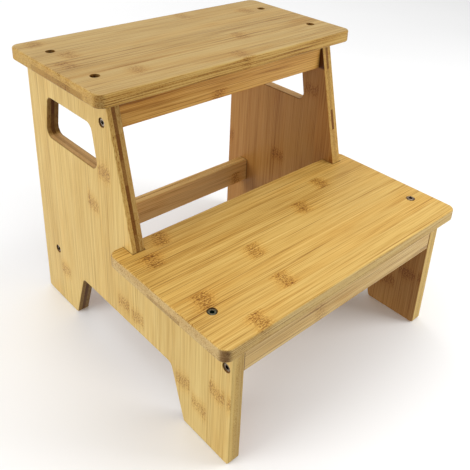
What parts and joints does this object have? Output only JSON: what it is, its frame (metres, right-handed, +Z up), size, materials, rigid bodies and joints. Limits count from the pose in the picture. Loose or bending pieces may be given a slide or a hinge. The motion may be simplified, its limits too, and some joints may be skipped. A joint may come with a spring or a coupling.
{
  "type": "step stool",
  "caption": "Low wooden step stool: two treads on stepped side panels with handle slots, foot arches, cross rails and hex-socket screws.",
  "frame": {"origin": "on the floor, at the middle of the stool's outline seen from above", "axes": "+X to the right along the treads, the steps are climbed from -Y towards +Y, +Z up"},
  "size_m": [0.33, 0.3306, 0.303],
  "materials": {
    "panel_bamboo": "satin lacquered bamboo board, upright grain",
    "tread_bamboo": "satin lacquered bamboo board, grain along the tread",
    "rail_bamboo": "satin lacquered bamboo board, grain along the rail",
    "zinc_screw": "zinc-plated steel, slightly dulled",
    "dowel_wood": "plain fluted beech, unfinished"
  },
  "bodies": {
    "root": {"left_side_panel": "panel_bamboo", "right_side_panel": "panel_bamboo", "top_tread": "tread_bamboo", "lower_tread": "tread_bamboo", "upper_rail": "rail_bamboo", "rear_stretcher": "rail_bamboo", "front_apron": "rail_bamboo", "top_tread_screw_left_rear": "zinc_screw", "top_tread_screw_left_front": "zinc_screw", "lower_tread_screw_left": "zinc_screw", "lower_tread_dowel_left": "dowel_wood", "upper_rail_screw_left": "zinc_screw", "upper_rail_dowel_left": "dowel_wood", "rear_stretcher_screw_left": "zinc_screw", "rear_stretcher_dowel_left": "dowel_wood", "front_apron_screw_left": "zinc_screw", "front_apron_dowel_left": "dowel_wood", "top_tread_screw_right_rear": "zinc_screw", "top_tread_screw_right_front": "zinc_screw", "lower_tread_screw_right": "zinc_screw", "lower_tread_dowel_right": "dowel_wood", "upper_rail_screw_right": "zinc_screw", "upper_rail_dowel_right": "dowel_wood", "rear_stretcher_screw_right": "zinc_screw", "rear_stretcher_dowel_right": "dowel_wood", "front_apron_screw_right": "zinc_screw", "front_apron_dowel_right": "dowel_wood"}
  },
  "joints": []
}
